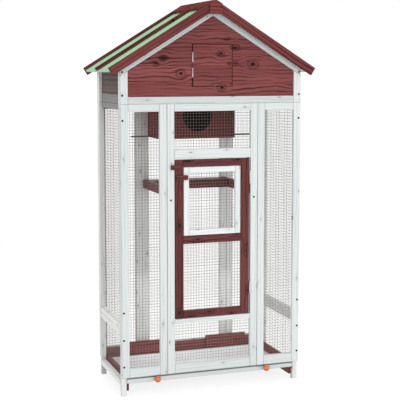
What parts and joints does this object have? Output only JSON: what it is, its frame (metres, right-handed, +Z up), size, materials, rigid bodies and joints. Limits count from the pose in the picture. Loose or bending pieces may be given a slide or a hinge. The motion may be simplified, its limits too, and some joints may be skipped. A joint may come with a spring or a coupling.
{
  "type": "wooden bird cage",
  "caption": "Tall framed bird cage with mesh walls, a pitched roof over an attic, a front door with its own window, a nest box, a landing platform and a slide-out tray.",
  "frame": {"origin": "centre of the bounding box's bottom face, on the ground between the feet", "axes": "+Z up, -Y out of the front with the door, +X to the right when facing the front"},
  "size_m": [0.92, 0.466, 1.665],
  "materials": {
    "white_wood": "pale translucent wash over knotty softwood",
    "brown_wood": "dark red-brown stain",
    "stained_board": "red-brown stain on grooved planks",
    "roof_green": "thin board faced with mint green roofing felt",
    "galvanised": "galvanised welded wire",
    "hinge_steel": "zinc plated",
    "tray_sheet": "smooth off-white sheet",
    "turned_knob": "clear lacquer on orange-brown turned wood",
    "black_rod": "satin black"
  },
  "bodies": {
    "cage": {"front_left_frame": "white_wood", "front_centre_frame": "white_wood", "front_right_frame": "white_wood", "rear_left_frame": "white_wood", "rear_centre_frame": "white_wood", "rear_right_frame": "white_wood", "left_side_frame": "white_wood", "right_side_frame": "white_wood", "front_left_mesh": "galvanised", "front_right_mesh": "galvanised", "front_bottom_mesh": "galvanised", "front_top_mesh": "galvanised", "rear_left_mesh": "galvanised", "rear_centre_mesh": "galvanised", "rear_right_mesh": "galvanised", "left_side_mesh": "galvanised", "right_side_mesh": "galvanised", "door_hinge_upper_fixed_leaf": "hinge_steel", "door_hinge_lower_fixed_leaf": "hinge_steel", "front_gable_frame": "white_wood", "front_gable_board": "stained_board", "rear_gable_frame": "white_wood", "rear_gable_board": "stained_board", "hatch_hinge_fixed_leaf": "hinge_steel", "left_attic_frame": "white_wood", "left_attic_board": "stained_board", "right_attic_frame": "white_wood", "right_attic_board": "stained_board", "left_roof_panel": "roof_green", "right_roof_panel": "roof_green", "left_roof_batten": "stained_board", "right_roof_batten": "stained_board", "front_left_bargeboard": "stained_board", "front_right_bargeboard": "stained_board", "rear_left_bargeboard": "stained_board", "rear_right_bargeboard": "stained_board", "ridge_cap": "stained_board", "apex_plate": "stained_board", "base_skirting": "brown_wood", "nest_box_front": "brown_wood", "nest_box_shell": "brown_wood", "perch": "black_rod", "landing_platform": "brown_wood"},
    "door": {"door_frame": "brown_wood", "door_mesh": "galvanised", "door_hinge_upper_moving_leaf": "hinge_steel", "door_hinge_lower_moving_leaf": "hinge_steel", "window_hinge_fixed_leaf": "hinge_steel"},
    "window": {"window_frame": "white_wood", "window_mesh": "galvanised", "window_hinge_moving_leaf": "hinge_steel"},
    "gable_hatch": {"hatch": "stained_board", "hatch_hinge_moving_leaf": "hinge_steel"},
    "tray": {"tray_front": "white_wood", "tray_pan": "tray_sheet", "tray_knob_left": "turned_knob", "tray_knob_right": "turned_knob"},
    "door_turn_button": {"door_button": "brown_wood"},
    "window_turn_button": {"window_button": "brown_wood"},
    "hatch_turn_button": {"hatch_button": "brown_wood"}
  },
  "joints": [
    {"name": "door_swing", "type": "hinge", "parent": "cage", "child": "door", "pos_m": [0.16875, -0.1957, 0.659], "axis": [0, 0, 1], "range_deg": [0, 105]},
    {"name": "window_swing", "type": "hinge", "parent": "door", "child": "window", "pos_m": [0.1275, -0.195, 0.8205], "axis": [0, 0, 1], "range_deg": [0, 75]},
    {"name": "hatch_swing", "type": "hinge", "parent": "cage", "child": "gable_hatch", "pos_m": [-0.0895, -0.189, 1.3955], "axis": [0, 0, -1], "range_deg": [0, 110]},
    {"name": "tray_slide", "type": "slide", "parent": "cage", "child": "tray", "axis": [0, -1, 0], "range_m": [0, 0.3]},
    {"name": "door_button_turn", "type": "hinge", "parent": "cage", "child": "door_turn_button", "pos_m": [-0.18, -0.197, 0.967], "axis": [0, -1, 0], "range_deg": [0, 90]},
    {"name": "window_button_turn", "type": "hinge", "parent": "door", "child": "window_turn_button", "pos_m": [-0.1545, -0.197, 0.923], "axis": [0, 1, 0], "range_deg": [0, 90]},
    {"name": "hatch_button_turn", "type": "hinge", "parent": "cage", "child": "hatch_turn_button", "pos_m": [0.10775, -0.19, 1.401], "axis": [0, 1, 0], "range_deg": [-90, 90]}
  ]
}
